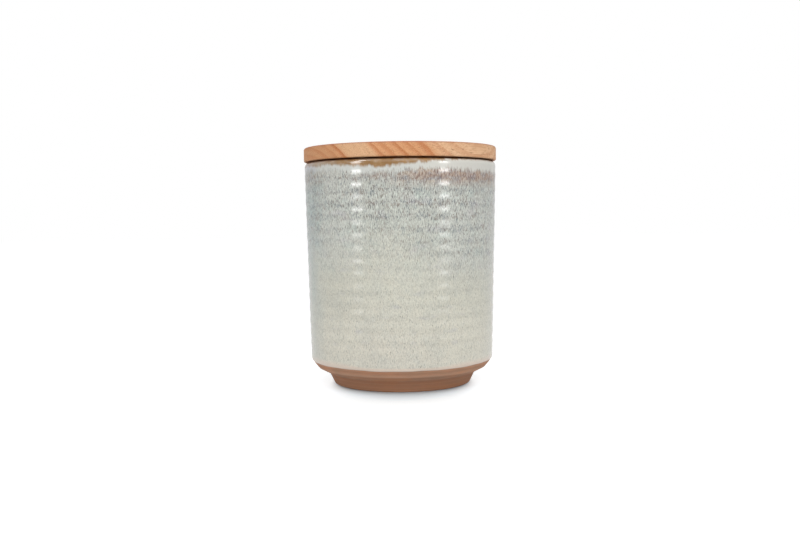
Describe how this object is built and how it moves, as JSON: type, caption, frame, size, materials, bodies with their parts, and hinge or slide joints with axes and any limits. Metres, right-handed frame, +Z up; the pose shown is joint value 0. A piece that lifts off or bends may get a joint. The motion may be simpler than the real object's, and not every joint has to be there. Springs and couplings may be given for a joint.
{
  "type": "sugar bowl",
  "caption": "Lidded stoneware sugar bowl: a ribbed, glazed wall on a bare clay foot ring, closed by a turned wooden lid with a plug and a silicone seal.",
  "frame": {"origin": "centre of the foot ring's sole, on the table", "axes": "+Z up, along the axis that the pot and the lid are turned about; nothing sets X and Y apart"},
  "size_m": [0.09, 0.09, 0.11],
  "materials": {
    "fired_clay": "matt, fine turning lines",
    "reactive_glaze": "gloss, pale grey-green with brown and navy specks",
    "liner_glaze": "gloss, off-white",
    "lid_wood": "satin, oiled",
    "silicone": "satin, milky"
  },
  "bodies": {
    "bowl": {"stoneware_body": "fired_clay", "reactive_glaze_coat": "reactive_glaze", "liner_glaze_coat": "liner_glaze"},
    "seal": {"silicone_seal": "silicone"},
    "lid": {"wooden_lid": "lid_wood"}
  },
  "joints": [
    {"name": "lid_lift", "type": "slide", "parent": "bowl", "child": "seal", "axis": [0, 0, 1], "range_m": [0, 0.1]},
    {"name": "lid_turn", "type": "hinge", "parent": "seal", "child": "lid", "pos_m": [0, 0, 0.1035], "axis": [0, 0, 1], "continuous": true}
  ]
}
